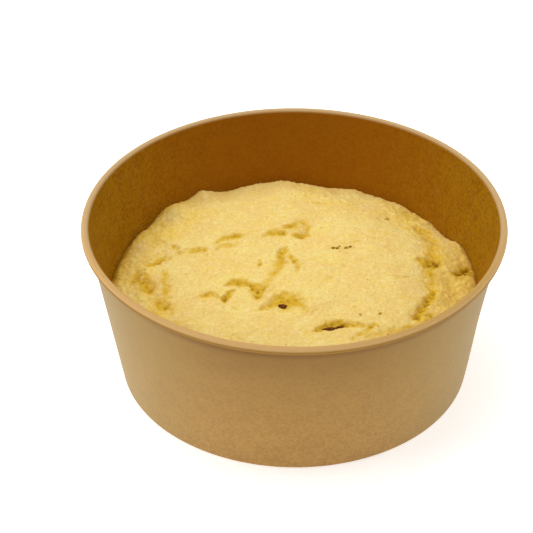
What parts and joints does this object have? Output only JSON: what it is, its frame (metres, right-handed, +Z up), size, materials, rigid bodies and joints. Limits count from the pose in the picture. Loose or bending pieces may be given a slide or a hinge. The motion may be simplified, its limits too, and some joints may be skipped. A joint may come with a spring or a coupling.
{
  "type": "hummus in a paper bowl",
  "caption": "Thick hummus heaped in a round kraft-paper salad bowl with a rolled rim, with folds, dabs and small dark and green bits in its uneven top.",
  "frame": {"origin": "on the table under the middle of the bowl", "axes": "+Z up along the bowl's axis, +X to the right and +Y away from the viewer as the bowl is pictured"},
  "size_m": [0.15, 0.15, 0.061],
  "materials": {
    "kraft_paper": "matte",
    "hummus": "satin"
  },
  "bodies": {
    "root": {"bowl_wall": "kraft_paper", "bowl_base": "kraft_paper", "hummus": "hummus"}
  },
  "joints": []
}
